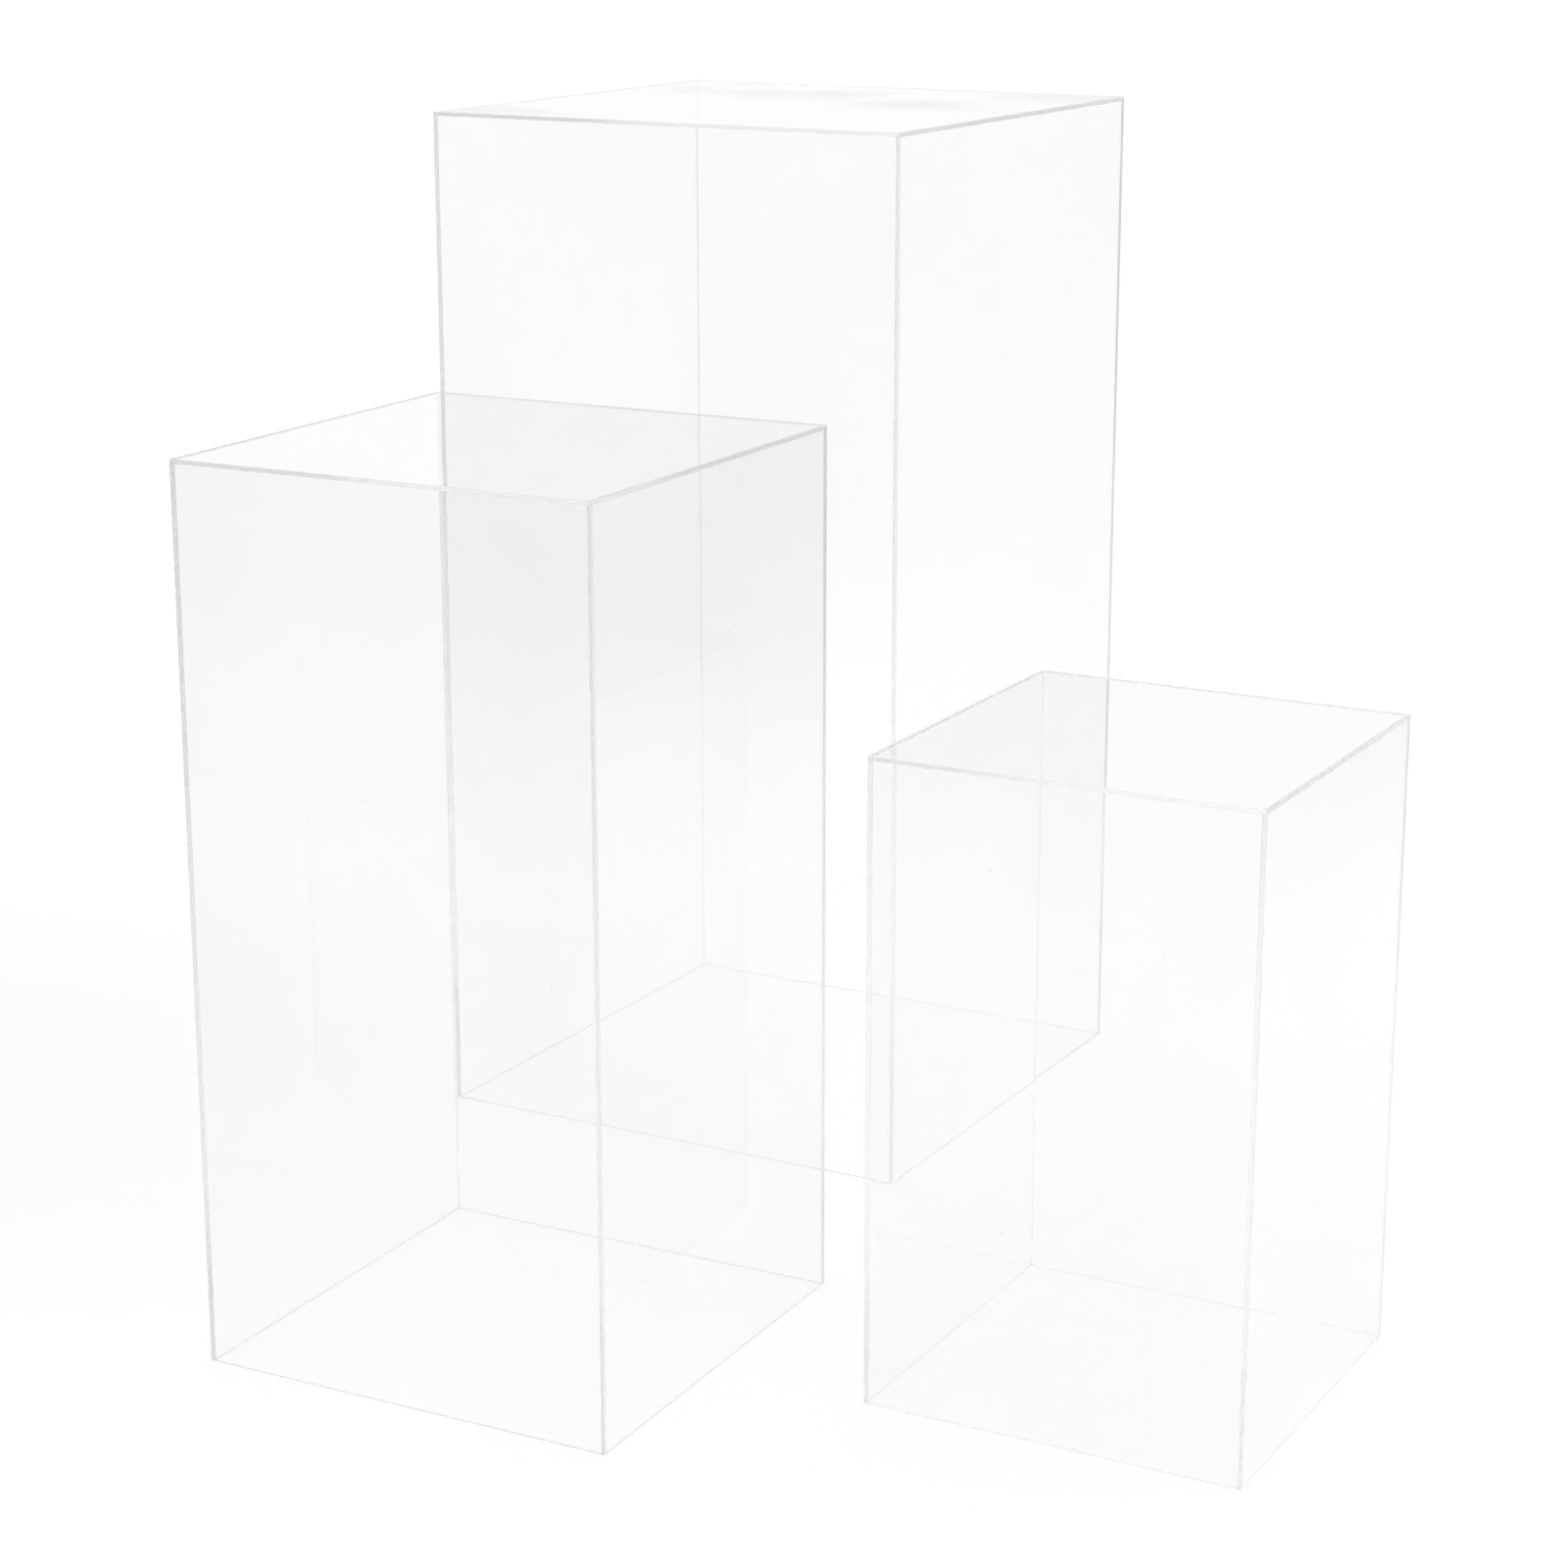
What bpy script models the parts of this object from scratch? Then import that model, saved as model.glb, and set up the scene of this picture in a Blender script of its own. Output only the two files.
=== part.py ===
"""A nesting set of three clear acrylic display plinths.

Each plinth is a square box, open at the bottom, cemented together from five flat panels of one
sheet thickness: a front and a back wall of full width, a left and a right wall let in between
them, and a top panel lying over all four. The sizes step down so that each plinth fits inside
the next one. The three stand beside each other on a floor at z = 0, the tall one behind.

Metres, +Z up. The origin is on the floor, under the middle of the box round all three plinths.
The walls of the tall plinth are square to X and Y, and its front wall faces -Y.
"""

from collections import namedtuple
from math import cos, radians, sin

import bmesh
import bpy
from mathutils import Vector

# Sizes that drive the whole set, in metres
SHEET = 0.003  # thickness of the acrylic that every panel is cut from
JOINT_GAP = 0.0003  # left open where two cemented panels face each other
EASED_EDGE = 0.0003  # how far a panel's edges are rounded over, where no other panel meets them

# width: outside width and depth of the square plinth. place: middle of its footprint, measured
# from the middle of the display. turn: how far it stands turned about Z, against the tall one.
Plinth = namedtuple("Plinth", "name width height place turn")
PLINTHS = (
    Plinth("tall", 0.45, 0.90, (-0.241, 0.287), 0.0),
    Plinth("medium", 0.35, 0.70, (-0.136, -0.333), radians(1.2)),
    Plinth("small", 0.30, 0.50, (0.315, -0.185), radians(0.5)),
)

CLEAR_ACRYLIC = (0.93, 0.95, 0.95)
ACRYLIC_IOR = 1.49


def clear_old_scene():
    for old in list(bpy.data.objects):
        bpy.data.objects.remove(old, do_unlink=True)


def new_collection(name):
    collection = bpy.data.collections.new(name)
    bpy.context.scene.collection.children.link(collection)
    return collection


def clear_acrylic(name):
    material = bpy.data.materials.new(name)
    material.use_nodes = True
    shader = material.node_tree.nodes["Principled BSDF"]
    shader.inputs["Base Color"].default_value = (*CLEAR_ACRYLIC, 1.0)
    shader.inputs["Roughness"].default_value = 0.03
    shader.inputs["Metallic"].default_value = 0.0
    shader.inputs["IOR"].default_value = ACRYLIC_IOR
    shader.inputs["Transmission Weight"].default_value = 1.0
    return material


def display_middle():
    """The middle, on plan, of the box round all the plinths at their places."""
    lows, highs = [], []
    for plinth in PLINTHS:
        # half the box round a square turned by a small angle
        reach = plinth.width / 2 * (cos(abs(plinth.turn)) + sin(abs(plinth.turn)))
        place = Vector(plinth.place)
        lows.append(place - Vector((reach, reach)))
        highs.append(place + Vector((reach, reach)))
    low = Vector(min(point[axis] for point in lows) for axis in range(2))
    high = Vector(max(point[axis] for point in highs) for axis in range(2))
    return (low + high) / 2


def stand(plinth, collection):
    """The empty at the middle of a plinth's footprint, which its panels are parented to."""
    empty = bpy.data.objects.new(plinth.name + "_plinth", None)
    place = Vector(plinth.place) - display_middle()
    empty.location = (place.x, place.y, 0.0)
    empty.rotation_euler.z = plinth.turn
    collection.objects.link(empty)
    return empty


def mark_free_edges(mesh, is_free):
    """Gives the Bevel modifier its edges: those whose middle is_free says nothing is cemented to."""
    weights = mesh.attributes.new("bevel_weight_edge", "FLOAT", "EDGE")
    for edge in mesh.edges:
        start, end = (mesh.vertices[index].co for index in edge.vertices)
        weights.data[edge.index].value = float(is_free((start + end) / 2))


def panel(name, size, middle, is_free, parent, collection):
    """A flat panel of the given size along X, Y and Z, with its free edges slightly rounded."""
    shape = bmesh.new()
    bmesh.ops.create_cube(shape, size=1.0)
    bmesh.ops.scale(shape, vec=size, verts=shape.verts)
    mesh = bpy.data.meshes.new(name)
    shape.to_mesh(mesh)
    shape.free()
    mark_free_edges(mesh, is_free)
    obj = bpy.data.objects.new(name, mesh)
    obj.location = middle
    obj.parent = parent
    collection.objects.link(obj)
    mesh.materials.append(clear_acrylic(name + "_acrylic"))
    bevel = obj.modifiers.new("Eased edges", "BEVEL")
    bevel.width = EASED_EDGE
    bevel.segments = 2
    bevel.limit_method = "WEIGHT"
    return obj


def build_plinth(plinth, collection):
    parent = stand(plinth, collection)
    half = plinth.width / 2
    to_wall = half - SHEET / 2
    wall_height = plinth.height - SHEET - JOINT_GAP
    side_width = plinth.width - 2 * (SHEET + JOINT_GAP)
    broad = (plinth.width, SHEET, wall_height)
    narrow = (SHEET, side_width, wall_height)
    lid = (plinth.width, plinth.width, SHEET)
    middle = wall_height / 2

    def on_rim(spot):
        return spot.z < -wall_height / 4

    def on_rim_or_front(spot):
        return on_rim(spot) or (spot.y < 0 and spot.z < wall_height / 4)

    def on_rim_or_back(spot):
        return on_rim(spot) or (spot.y > 0 and spot.z < wall_height / 4)

    def above_seam(spot):
        return spot.z > -SHEET / 4

    panels = (
        ("front_wall", broad, (0, -to_wall, middle), on_rim_or_front),
        ("back_wall", broad, (0, to_wall, middle), on_rim_or_back),
        ("left_wall", narrow, (-to_wall, 0, middle), on_rim),
        ("right_wall", narrow, (to_wall, 0, middle), on_rim),
        ("top_panel", lid, (0, 0, plinth.height - SHEET / 2), above_seam),
    )
    for label, size, place, is_free in panels:
        panel(f"{plinth.name}_{label}", size, place, is_free, parent, collection)


def main():
    clear_old_scene()
    collection = new_collection("Nesting display plinths")
    for plinth in PLINTHS:
        build_plinth(plinth, collection)


main()
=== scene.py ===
"""Looks for the nesting set of three clear acrylic display plinths.

The panels are the frame's own solids, with a clear acrylic material: broad faces that are almost
invisible and narrow cut edges that carry light along the sheet. Seams of solvent cement join them,
with a small bead in each inner corner. The floor, the light and the camera come last.
"""

from math import atan2, cos, radians, sin

import bmesh
import bpy
from mathutils import Matrix, Vector, noise


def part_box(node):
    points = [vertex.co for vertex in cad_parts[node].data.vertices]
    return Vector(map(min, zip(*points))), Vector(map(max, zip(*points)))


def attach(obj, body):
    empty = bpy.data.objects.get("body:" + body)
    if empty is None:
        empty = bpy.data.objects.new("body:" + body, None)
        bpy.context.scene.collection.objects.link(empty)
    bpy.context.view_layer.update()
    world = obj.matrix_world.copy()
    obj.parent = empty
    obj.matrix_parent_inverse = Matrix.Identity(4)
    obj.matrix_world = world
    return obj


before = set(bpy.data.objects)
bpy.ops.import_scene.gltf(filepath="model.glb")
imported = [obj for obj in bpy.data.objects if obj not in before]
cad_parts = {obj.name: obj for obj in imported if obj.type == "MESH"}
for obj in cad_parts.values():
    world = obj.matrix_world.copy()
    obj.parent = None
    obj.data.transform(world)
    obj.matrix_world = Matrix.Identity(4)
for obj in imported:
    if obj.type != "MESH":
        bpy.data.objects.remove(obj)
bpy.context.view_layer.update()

# --- what the frame gives -------------------------------------------------------------------

PLINTHS = ("tall", "medium", "small")
WALLS = ("front_wall", "right_wall", "back_wall", "left_wall")
# the way that each panel's broad faces look, in its plinth's own frame
BROADSIDE = {
    "front_wall": (0, 1, 0),
    "right_wall": (1, 0, 0),
    "back_wall": (0, 1, 0),
    "left_wall": (1, 0, 0),
    "top_panel": (0, 0, 1),
}


# --- node helpers ---------------------------------------------------------------------------


class Nodes:
    """A short way to write a node tree: make returns the new node, the others only its output."""

    def __init__(self, tree):
        self.tree = tree

    def make(self, kind, settings=None, **inputs):
        node = self.tree.nodes.new(kind)
        for key, value in (settings or {}).items():
            setattr(node, key, value)
        for key, value in inputs.items():
            self.plug(node.inputs[key.replace("_", " ")], value)
        return node

    def plug(self, socket, value):
        """Link the socket to an output, or set it to a number or a colour."""
        if isinstance(value, bpy.types.NodeSocket):
            self.tree.links.new(value, socket)
        else:
            socket.default_value = value

    def math(self, operation, a, b=0.0):
        node = self.make("ShaderNodeMath", {"operation": operation})
        self.plug(node.inputs[0], a)
        self.plug(node.inputs[1], b)
        return node.outputs[0]

    def ramp(self, value, start, end, low=0.0, high=1.0):
        """low up to start, high past end, and a smooth step between them."""
        node = self.make("ShaderNodeMapRange", {"interpolation_type": "SMOOTHSTEP"})
        for socket, number in zip(node.inputs[:5], (value, start, end, low, high)):
            self.plug(socket, number)
        return node.outputs[0]

    def noise(self, where, scale, detail=2.0, roughness=0.5):
        node = self.make("ShaderNodeTexNoise", Scale=scale, Detail=detail, Roughness=roughness)
        self.plug(node.inputs["Vector"], where)
        return node.outputs["Fac"]

    def dot(self, vector, direction):
        node = self.make("ShaderNodeVectorMath", {"operation": "DOT_PRODUCT"})
        self.plug(node.inputs[0], vector)
        self.plug(node.inputs[1], tuple(direction))
        return node.outputs["Value"]

    def distance(self, vector, point):
        node = self.make("ShaderNodeVectorMath", {"operation": "DISTANCE"})
        self.plug(node.inputs[0], vector)
        self.plug(node.inputs[1], tuple(point))
        return node.outputs["Value"]

    def mix(self, share, a, b):
        """a where share is 0, b where it is 1."""
        node = self.make("ShaderNodeMix", {"data_type": "FLOAT"})
        for socket, value in ((node.inputs[0], share), (node.inputs[2], a), (node.inputs[3], b)):
            self.plug(socket, value)
        return node.outputs[0]


def new_material(name):
    material = bpy.data.materials.new(name)
    material.use_nodes = True
    return material, Nodes(material.node_tree)


# --- the plinths' own frames ----------------------------------------------------------------


class Plinth:
    """One plinth's place and sizes, all read from the frame."""

    def __init__(self, name):
        self.name = name
        self.body = name + "_plinth"
        middles = {label: self.middle(label) for label in WALLS}
        right = middles["right_wall"] - middles["left_wall"]
        self.turn = atan2(right.y, right.x)
        lid_low, lid_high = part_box(name + "_top_panel")
        self.sheet = lid_high.z - lid_low.z
        self.lid_bottom = lid_low.z
        self.wall_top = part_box(name + "_front_wall")[1].z
        self.gap = self.lid_bottom - self.wall_top
        place = self.middle("top_panel")
        self.matrix = Matrix.Translation((place.x, place.y, 0.0)) @ Matrix.Rotation(self.turn, 4, "Z")
        self.half = (right.length + self.sheet) / 2

    def middle(self, label):
        low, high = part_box(f"{self.name}_{label}")
        return (low + high) / 2


plinths = [Plinth(name) for name in PLINTHS]

# --- clear acrylic --------------------------------------------------------------------------

ACRYLIC_IOR = 1.49
# share of the light that a sheet passes, apart from what its faces mirror
WALL_TINTS = {"tall": 0.994, "medium": 0.98, "small": 0.982}
LID_TINTS = {"tall": 0.95, "medium": 0.978, "small": 0.96}
# light lost per metre of travel inside the sheet, which darkens only the edges
WALL_ABSORPTION = {"tall": 0.06, "medium": 0.18, "small": 0.01}
LID_ABSORPTION = {"tall": 0.28, "medium": 0.15, "small": 0.18}
# roughness of the cut edges: 0 would be polished
WALL_EDGES = {"tall": 0.3, "medium": 0.35, "small": 0.3}
LID_EDGES = {"tall": 0.5, "medium": 0.4, "small": 0.55}
EDGE_FACING = (0.5, 0.9)  # cosine to the broad faces' normal: an edge below, a broad face above
RIM_ROUGHNESS = 0.4  # the lower rims are left as the saw cut them
RIM_HEIGHT = (0.0003, 0.0008)  # the rim's roughness fades out between these heights

HAZE = 0.012  # how much more a dulled patch takes away
HAZE_SCALE = 3.5
HAZE_DETAIL = 3.0
HAZE_BREAKUP = 0.6
HAZE_LEVELS = (0.35, 0.7)
SPECK_CELLS = 30.0  # per metre
SPECK_SIZE = (0.015, 0.035)  # share of a cell, from a speck's solid middle to its outer fade
SPECK_SHADE = 0.86  # share of the light that a speck of dust lets through
SPECK_ROUGHNESS = 0.3
SCRATCH_TURNS = ((0.5, 0.3, 0.9), (-0.7, 1.1, -0.4))
SCRATCH_STRETCH = (900.0, 14.0, 900.0)  # squeezes the noise into thin lines
SCRATCH_LEVELS = (0.83, 0.86)  # only the noise's rare peaks scratch
SCRATCH_ROUGHNESS = 0.12
WAVE_SCALE = 4.0
WAVE_DEPTH = 0.0006
WAVE_STRENGTH = 0.3
SAW_SCALE = 900.0
SAW_DEPTH = 0.0001
SAW_STRENGTH = 0.25


def dust_specks(n, place):
    """1 in sparse specks of dust up to 2 mm across, where a cell's middle lies in the face."""
    cells = n.make("ShaderNodeTexVoronoi", Vector=place, Scale=SPECK_CELLS)
    return n.ramp(cells.outputs["Distance"], *SPECK_SIZE, 1.0, 0.0)


def handling_haze(n, place, tint):
    """The sheet's tint, a little deeper in broad soft patches where hands have dulled it."""
    patches = n.noise(place, HAZE_SCALE, HAZE_DETAIL, HAZE_BREAKUP)
    return n.ramp(patches, *HAZE_LEVELS, tint, tint - HAZE)


def hairline_scratches(n, place):
    """Roughness of thin short scratches in two slanting directions."""
    strokes = []
    for turn in SCRATCH_TURNS:
        turned = n.make("ShaderNodeMapping", Vector=place, Rotation=turn, Scale=SCRATCH_STRETCH)
        lines = n.noise(turned.outputs[0], 1.0, 0.0)
        strokes.append(n.ramp(lines, *SCRATCH_LEVELS, 0.0, SCRATCH_ROUGHNESS))
    return n.math("MAXIMUM", *strokes)


def sheet_colour(n, place, edge, specks, tint):
    """The share of light that gets through: dust and haze lie on the broad faces only."""
    dust = n.ramp(specks, 0.0, 1.0, 1.0, SPECK_SHADE)
    clarity = n.mix(edge, n.math("MULTIPLY", handling_haze(n, place, tint), dust), 1.0)
    colour = n.make("ShaderNodeCombineColor", Red=clarity, Green=clarity, Blue=clarity)
    return colour.outputs[0]


def sheet_roughness(n, place, edge, specks, sawn):
    """Rough cut edges and lower rim; on the faces, only the scratches and the dust."""
    height = n.dot(place, (0, 0, 1))
    rim = n.ramp(height, *RIM_HEIGHT, RIM_ROUGHNESS, 0.0)
    matt = n.math("ADD", n.math("MULTIPLY", edge, sawn), rim)
    dust = n.math("MULTIPLY", specks, SPECK_ROUGHNESS)
    return n.math("ADD", matt, n.math("MAXIMUM", hairline_scratches(n, place), dust))


def sheet_normal(n, place, edge):
    """A slight waviness of the whole sheet, and the marks of the saw on its edges."""
    wave = n.noise(place, WAVE_SCALE, 1.0)
    wavy = n.make("ShaderNodeBump", Strength=WAVE_STRENGTH, Distance=WAVE_DEPTH, Height=wave)
    saw = n.math("MULTIPLY", edge, n.noise(place, SAW_SCALE, 1.0))
    marked = n.make(
        "ShaderNodeBump", Strength=SAW_STRENGTH, Distance=SAW_DEPTH, Height=saw, Normal=wavy.outputs[0]
    )
    return marked.outputs[0]


def acrylic(name, normal, tint, absorption, sawn):
    """Clear acrylic for a panel whose broad faces look along normal; sawn is its edges' roughness."""
    material, n = new_material(name)
    shader = material.node_tree.nodes["Principled BSDF"]
    place = n.make("ShaderNodeTexCoord").outputs["Object"]
    facing = n.dot(n.make("ShaderNodeNewGeometry").outputs["True Normal"], normal)
    edge = n.ramp(n.math("ABSOLUTE", facing), *EDGE_FACING, 1.0, 0.0)
    shader.inputs["Transmission Weight"].default_value = 1.0
    shader.inputs["IOR"].default_value = ACRYLIC_IOR
    specks = dust_specks(n, place)
    n.plug(shader.inputs["Base Color"], sheet_colour(n, place, edge, specks, tint))
    n.plug(shader.inputs["Roughness"], sheet_roughness(n, place, edge, specks, sawn))
    n.plug(shader.inputs["Normal"], sheet_normal(n, place, edge))
    volume = n.make("ShaderNodeVolumeAbsorption", Color=(0, 0, 0, 1), Density=absorption)
    n.plug(material.node_tree.nodes["Material Output"].inputs["Volume"], volume.outputs[0])
    return material


def dress_panels():
    """Give each CAD panel its own acrylic, in place of the frame's plain material."""
    for plinth in plinths:
        for label, broadside in BROADSIDE.items():
            is_lid = label == "top_panel"
            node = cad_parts[f"{plinth.name}_{label}"]
            look = acrylic(
                node.name + "_acrylic",
                plinth.matrix.to_3x3() @ Vector(broadside),
                (LID_TINTS if is_lid else WALL_TINTS)[plinth.name],
                (LID_ABSORPTION if is_lid else WALL_ABSORPTION)[plinth.name],
                (LID_EDGES if is_lid else WALL_EDGES)[plinth.name],
            )
            node.data.materials.clear()
            node.data.materials.append(look)


dress_panels()

# --- cement seams ---------------------------------------------------------------------------

SEAM_STEP = 0.003  # from one cross-section of a seam to the next
SEAM_BITE = 0.00005  # how far the cement has softened its way into each panel
SEAM_INSET = 0.00005  # from the outer face, so that the seam shows as a hairline
BEAD = (0.0002, 0.0006)  # least and most that the cement stands out in the inner corner
BEAD_SCALE = 60.0
VOID_REACH = 0.55  # share of the sheet that the cement covers where it ran short
VOID_SCALES = (140.0, 33.0)  # small bubbles, gathered in longer stretches
VOID_GATHER = 0.6
VOID_EDGE = 0.1  # how softly a void begins and ends
FILLET = 0.3  # how far the bead's waist is drawn in
SEAM_FOOT = 0.0002  # the upright seams start this far above the rims
NEVER_SHORT = (-2.0,)  # no voids in the upright seams
FIRST_SEED = 10.0
SEED_LEAP = 50.0  # from one plinth to the next
SEED_STEP = 7.3  # from one upright seam to the next
CEMENT_COLOUR = (0.99, 0.99, 0.99, 1.0)


def cement(name):
    """Dried solvent cement, which is acrylic itself and so bends light as the sheet does."""
    material, n = new_material(name)
    shader = n.tree.nodes["Principled BSDF"]
    shader.inputs["Transmission Weight"].default_value = 1.0
    shader.inputs["IOR"].default_value = ACRYLIC_IOR
    shader.inputs["Base Color"].default_value = CEMENT_COLOUR
    shader.inputs["Roughness"].default_value = 0.0
    return material


def seam_section(sheet, gap, bead, fill):
    """Cross-section of a seam: distance in from the outer face, height over the wall's end."""
    short = sheet * VOID_REACH

    def between(low, high):
        return low + (high - low) * fill

    return (
        (SEAM_INSET, -SEAM_BITE),
        (SEAM_INSET, gap + SEAM_BITE),
        (between(short, sheet + bead), gap + SEAM_BITE),
        (between(short, sheet + bead * FILLET), between(gap * (1 - FILLET), -bead * FILLET)),
        (between(short, sheet - SEAM_BITE), between(gap * FILLET, -bead)),
        (between(short, sheet - SEAM_BITE), -SEAM_BITE),
    )


def build_seam(name, plinth, corners, normal, closed, shortage, seed):
    """A seam of cement along corners, a list of (outer point, inward direction) pairs.

    normal points across the gap, away from the wall whose end is cemented.
    """
    shape = bmesh.new()
    rings = []
    sides = len(corners) if closed else len(corners) - 1
    walked = 0.0
    for side in range(sides):
        start, start_in = corners[side]
        end, end_in = corners[(side + 1) % len(corners)]
        length = (end - start).length
        count = max(2, round(length / SEAM_STEP))
        last = 0 if closed else 1
        for index in range(count + last):
            share = index / count
            here = start.lerp(end, share)
            inward = start_in.lerp(end_in, share)
            spot = Vector((walked + share * length, seed, 0.0))
            bead = BEAD[0] + (BEAD[1] - BEAD[0]) * (0.5 + 0.5 * noise.noise(spot * BEAD_SCALE))
            bubbles, stretches = (noise.noise(spot * scale) for scale in VOID_SCALES)
            wet = bubbles + VOID_GATHER * stretches
            fill = min(1.0, max(0.0, (wet - shortage[side]) / VOID_EDGE + 0.5))
            section = seam_section(plinth.sheet, plinth.gap, bead, fill)
            rings.append([shape.verts.new(here + inward * s + normal * h) for s, h in section])
        walked += length
    size = len(rings[0])
    for index in range(len(rings) if closed else len(rings) - 1):
        ring, following = rings[index], rings[(index + 1) % len(rings)]
        for corner in range(size):
            after = (corner + 1) % size
            shape.faces.new((ring[corner], ring[after], following[after], following[corner]))
    if not closed:
        shape.faces.new(rings[0])
        shape.faces.new(rings[-1])
    bmesh.ops.recalc_face_normals(shape, faces=shape.faces)
    mesh = bpy.data.meshes.new(name)
    shape.to_mesh(mesh)
    shape.free()
    mesh.transform(plinth.matrix)
    seam = bpy.data.objects.new(name, mesh)
    bpy.context.scene.collection.objects.link(seam)
    mesh.materials.append(cement(name + "_cement"))
    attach(seam, plinth.body)


# how short the cement ran under the lid's front, right, back and left: higher leaves more voids
SHORTAGE = {
    "tall": (-0.9, -0.6, -0.6, -0.6),
    "medium": (-0.7, -0.5, -0.5, -0.5),
    "small": (-0.9, -0.1, -0.4, -0.6),
}


def build_seams(plinth, seed):
    """The ring under the lid, and the four upright seams where the side walls meet the others."""
    half = plinth.half
    ring = [
        (Vector((x * half, y * half, plinth.wall_top)), Vector((-x, -y, 0)))
        for x, y in ((-1, -1), (1, -1), (1, 1), (-1, 1))
    ]
    shortage = SHORTAGE[plinth.name]
    build_seam(plinth.name + "_top_seam", plinth, ring, Vector((0, 0, 1)), True, shortage, seed)
    for label, y in (("front", -1), ("back", 1)):
        for side, x in (("left", -1), ("right", 1)):
            end_plane = y * (half - plinth.sheet - plinth.gap)
            inward = Vector((-x, 0, 0))
            low = Vector((x * half, end_plane, SEAM_FOOT))
            high = Vector((x * half, end_plane, plinth.wall_top - 2 * SEAM_BITE))
            corners = [(low, inward), (high, inward)]
            seed += SEED_STEP
            name = f"{plinth.name}_{label}_{side}_seam"
            build_seam(name, plinth, corners, Vector((0, y, 0)), False, NEVER_SHORT, seed)


for number, plinth in enumerate(plinths):
    build_seams(plinth, FIRST_SEED + SEED_LEAP * number)

# --- studio ---------------------------------------------------------------------------------

CAMERA_AZIMUTH = radians(28.88)
CAMERA_ELEVATION = radians(15.33)
CAMERA_PLACE = (1.2681, -2.4573, 1.1345)
CAMERA_LENS = 79.97
AWAY = Vector((-sin(CAMERA_AZIMUTH), cos(CAMERA_AZIMUTH), 0.0))  # level, away from the camera
ACROSS = Vector((cos(CAMERA_AZIMUTH), sin(CAMERA_AZIMUTH), 0.0))  # level, to its right

BACKDROP = 1.02  # brightness low down behind the plinths
ROOM = 0.6  # and low down on the camera's side, which the front walls mirror
SWEEP = (0.1, 0.95)  # cosine to straight behind: dim room below the first, full white above the second
LOW_SKY = 0.985  # share of either that is left a little higher up
LOW_SKY_HEIGHT = (-0.02, 0.12)
ZENITH = 1.45
ZENITH_HEIGHT = (0.3, 0.9)
FLOOR_RADIUS = 60.0
FLOOR_SEGMENTS = 96
FLOOR_GAP = 0.00015  # the rims stand this far off the floor, on its unevenness
FLOOR_WHITE = 0.888
FLOOR_SHADE_FADE = (1.0, 2.6)  # from the floor's own white to a painted shade as dim as what lies beyond it
PAINTED_SHADOW_PLACE = AWAY * 0.3 - ACROSS * 0.95  # a painted shadow on the floor, left of the plinths
PAINTED_SHADOW_REACH = (0.15, 0.95)
PAINTED_SHADOW_SHADE = 0.94
BOUNCES = 256


def surroundings(n, direction):
    """Brightness low down in a direction: a white sweep behind the plinths, a dimmer room round it."""
    return n.ramp(n.dot(direction, AWAY), *SWEEP, ROOM, BACKDROP)


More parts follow.
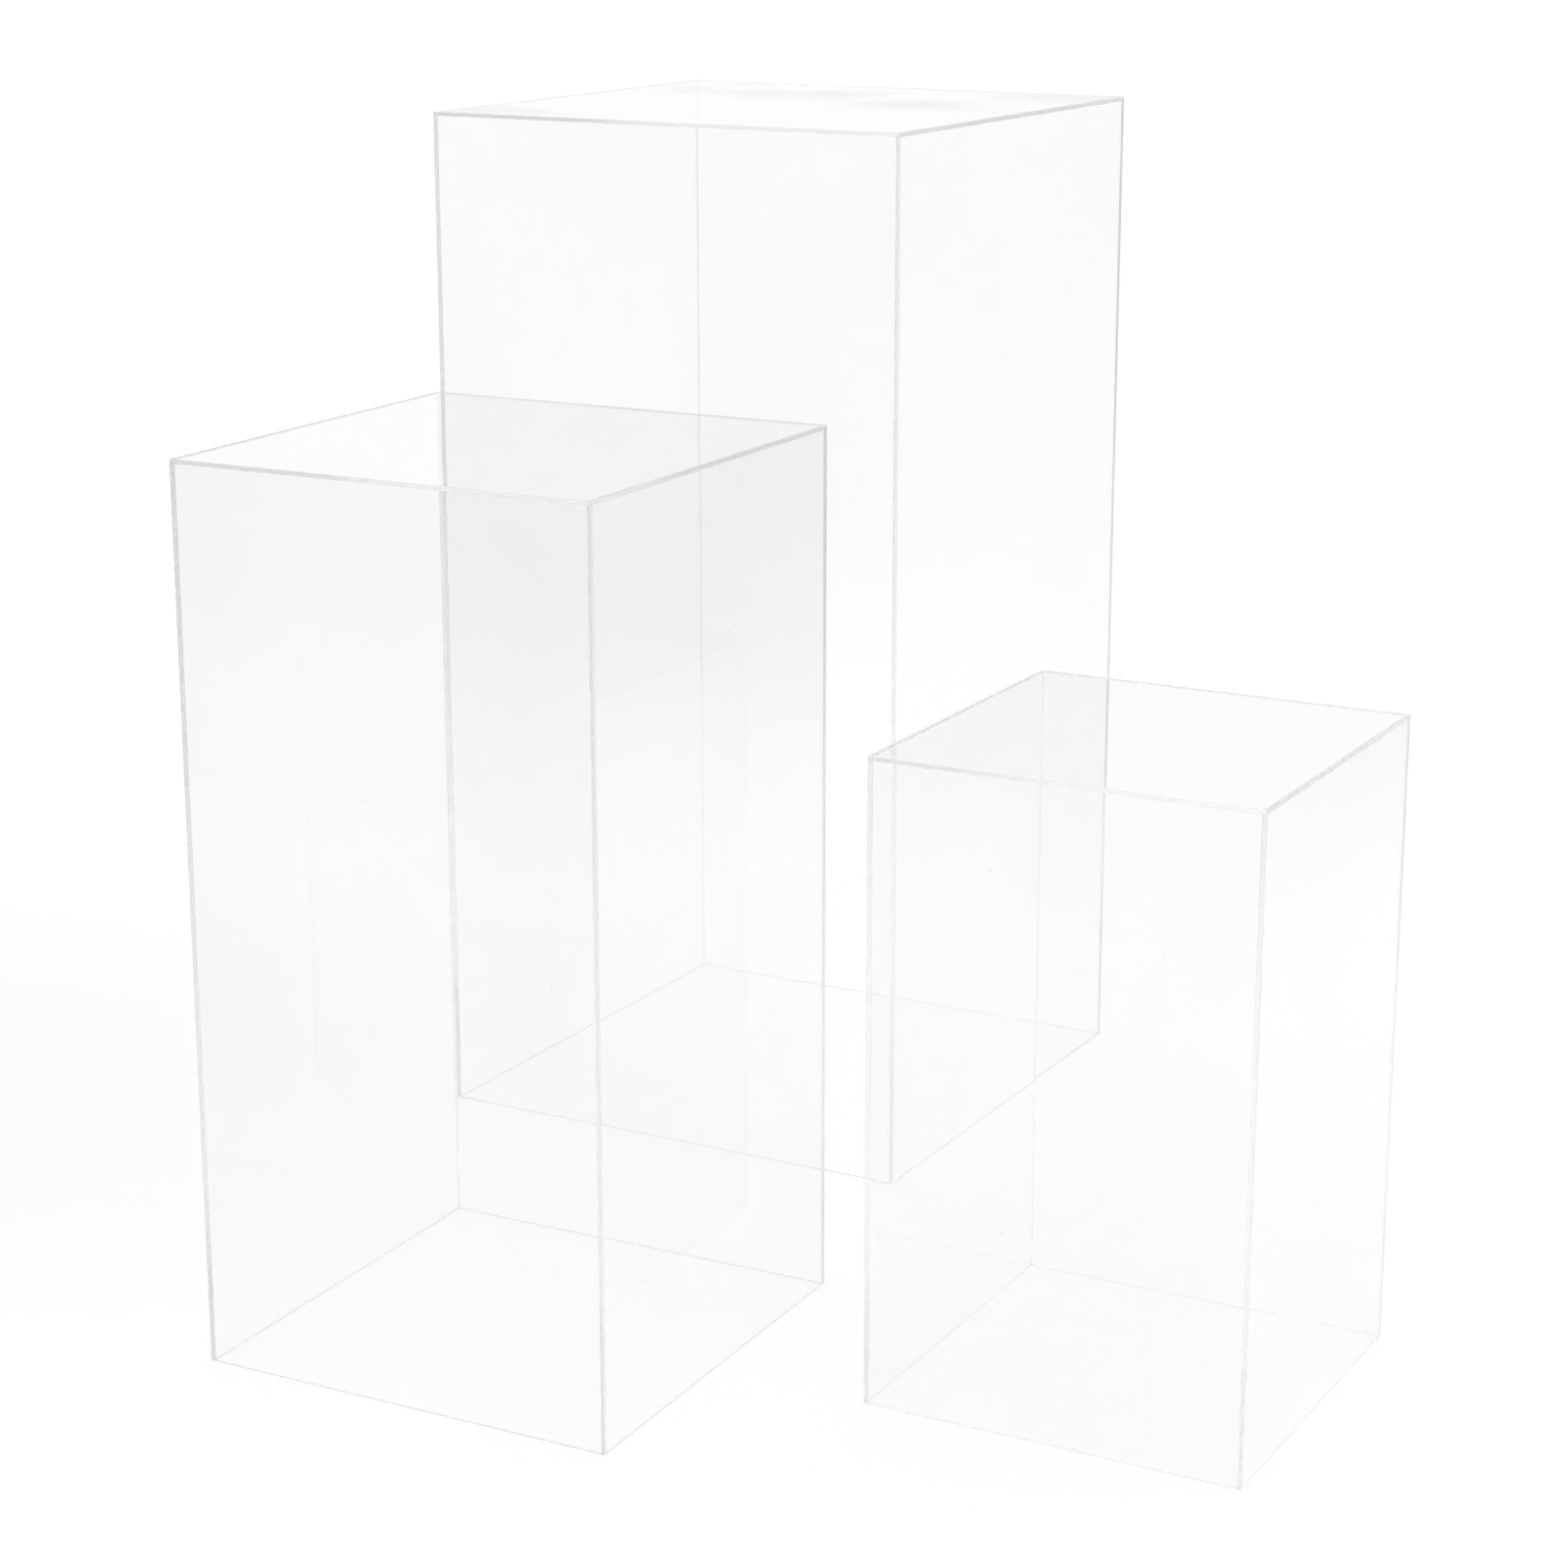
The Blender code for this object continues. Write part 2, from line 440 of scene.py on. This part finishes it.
def add_floor():
    """A white floor with painted shade: far out its colour turns as bright as what lies beyond it,
    dimmest on the camera's side, so that no horizon shows.
    """
    shape = bmesh.new()
    bmesh.ops.create_circle(shape, cap_ends=True, segments=FLOOR_SEGMENTS, radius=FLOOR_RADIUS)
    mesh = bpy.data.meshes.new("studio_floor")
    shape.to_mesh(mesh)
    shape.free()
    floor = bpy.data.objects.new("studio_floor", mesh)
    floor.location.z = -FLOOR_GAP
    bpy.context.scene.collection.objects.link(floor)
    material, n = new_material("studio_floor")
    shader = material.node_tree.nodes["Principled BSDF"]
    place = n.make("ShaderNodeTexCoord").outputs["Object"]
    radius = n.make("ShaderNodeVectorMath", {"operation": "LENGTH"})
    n.plug(radius.inputs[0], place)
    outwards = n.make("ShaderNodeVectorMath", {"operation": "NORMALIZE"})
    n.plug(outwards.inputs[0], place)
    # painted shade: far from the plinths the floor's colour drops to the room light's level in that
    # direction
    far = n.math("DIVIDE", surroundings(n, outwards.outputs[0]), BACKDROP)
    shade = n.mix(n.ramp(radius.outputs["Value"], *FLOOR_SHADE_FADE), 1.0, far)
    # painted shadow: a soft darker patch in the floor's colour, left of the plinths
    painted_shadow = n.ramp(n.distance(place, PAINTED_SHADOW_PLACE), *PAINTED_SHADOW_REACH, PAINTED_SHADOW_SHADE, 1.0)
    shade = n.math("MULTIPLY", n.math("MULTIPLY", shade, painted_shadow), FLOOR_WHITE)
    colour = n.make("ShaderNodeCombineColor", Red=shade, Green=shade, Blue=shade)
    n.plug(shader.inputs["Base Color"], colour.outputs[0])
    shader.inputs["Roughness"].default_value = 1.0
    shader.inputs["Specular IOR Level"].default_value = 0.0
    mesh.materials.append(material)


def add_world():
    """Soft white light from everywhere: strongest overhead, dimmer low down on the camera's side."""
    world = bpy.data.worlds.new("studio_light")
    bpy.context.scene.world = world
    world.use_nodes = True
    world.node_tree.nodes.clear()
    n = Nodes(world.node_tree)
    way = n.make("ShaderNodeTexCoord").outputs["Generated"]
    up = n.dot(way, (0, 0, 1))
    low = n.math("MULTIPLY", surroundings(n, way), n.ramp(up, *LOW_SKY_HEIGHT, 1.0, LOW_SKY))
    light = n.mix(n.ramp(up, *ZENITH_HEIGHT), low, ZENITH)
    background = n.make("ShaderNodeBackground", Color=(1, 1, 1, 1), Strength=light)
    output = n.make("ShaderNodeOutputWorld")
    n.plug(output.inputs["Surface"], background.outputs[0])


def add_camera():
    """The camera of the photograph, as far as it goes without a shift."""
    camera = bpy.data.objects.new("camera", bpy.data.cameras.new("camera"))
    bpy.context.scene.collection.objects.link(camera)
    bpy.context.scene.camera = camera
    camera.data.lens = CAMERA_LENS
    camera.location = CAMERA_PLACE
    aim = AWAY * cos(CAMERA_ELEVATION) - Vector((0, 0, sin(CAMERA_ELEVATION)))
    camera.rotation_euler = aim.to_track_quat("-Z", "Y").to_euler()


def set_light_paths():
    """Light needs many bounces to run along inside a sheet, and no blur to come through it."""
    scene = bpy.context.scene
    scene.view_settings.view_transform = "Standard"
    scene.cycles.max_bounces = BOUNCES
    scene.cycles.transmission_bounces = BOUNCES
    scene.cycles.glossy_bounces = BOUNCES
    scene.cycles.blur_glossy = 0.0


add_floor()
add_world()
add_camera()
set_light_paths()
